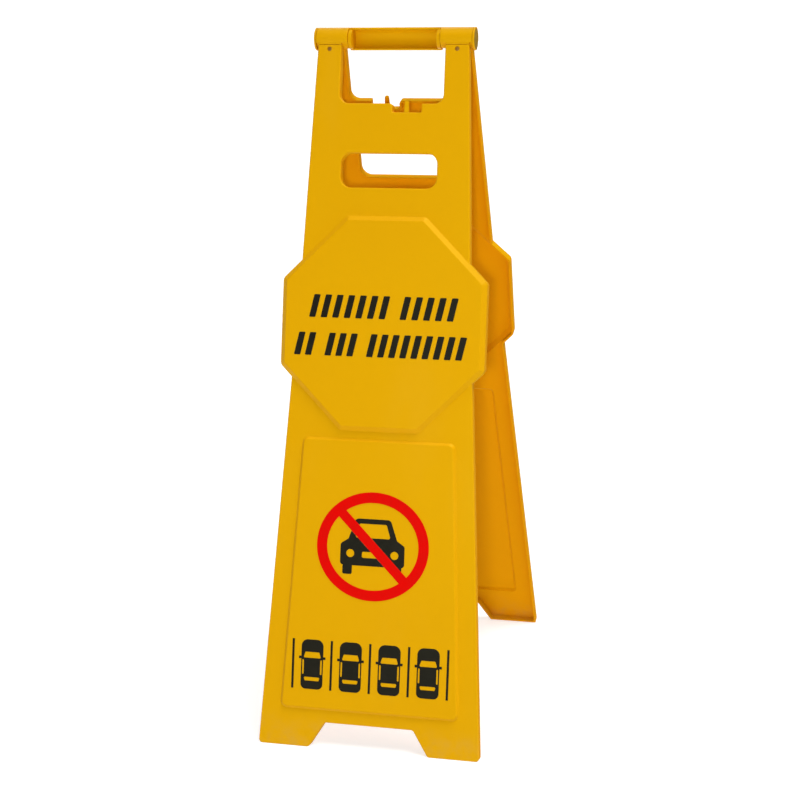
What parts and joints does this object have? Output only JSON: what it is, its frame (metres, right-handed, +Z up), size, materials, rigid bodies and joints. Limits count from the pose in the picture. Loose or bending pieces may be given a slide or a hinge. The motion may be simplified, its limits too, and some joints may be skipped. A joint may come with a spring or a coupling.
{
  "type": "a-frame parking barricade",
  "caption": "Folding A-frame floor barricade: moulded leaves hinged at a top grip, with hand opening, carrying slot, raised octagon, raised lower panel and printed symbols.",
  "frame": {"origin": "on the floor, under the hinge axis, midway between the feet", "axes": "+Z up, +X along the hinge axis to the right of someone facing the front leaf, +Y from the front leaf to the back leaf"},
  "size_m": [0.2994, 0.4822, 0.9205],
  "materials": {
    "panel_yellow": "satin injection-moulded yellow polypropylene",
    "handle_yellow": "satin injection-moulded yellow polypropylene, a little glossier where hands rub it",
    "cap_ochre": "dull ochre push-in end cap",
    "pin_steel": "zinc-plated steel rod",
    "screw_steel": "yellow-passivated zinc plate, sunk under the face",
    "print_black": "black screen-printed film",
    "print_red": "red screen-printed film"
  },
  "bodies": {
    "back_leaf": {"back_panel": "panel_yellow", "top_handle": "handle_yellow", "pin_cap_left": "cap_ochre", "pin_cap_right": "cap_ochre", "hinge_pin_left": "pin_steel", "hinge_pin_right": "pin_steel", "back_post_screws": "screw_steel", "back_upper_stripes": "print_black", "back_lower_stripes": "print_black", "back_car_symbol": "print_black", "back_parked_cars_row": "print_black", "back_prohibition_ring": "print_red"},
    "front_leaf": {"front_panel": "panel_yellow", "front_barrel_left": "handle_yellow", "front_barrel_right": "handle_yellow", "front_post_screws": "screw_steel", "front_upper_stripes": "print_black", "front_lower_stripes": "print_black", "front_car_symbol": "print_black", "front_parked_cars_row": "print_black", "front_prohibition_ring": "print_red"}
  },
  "joints": [
    {"name": "top_hinge", "type": "hinge", "parent": "back_leaf", "child": "front_leaf", "pos_m": [0, 0, 0.90548], "axis": [1, 0, 0], "range_deg": [0, 28.2]}
  ]
}
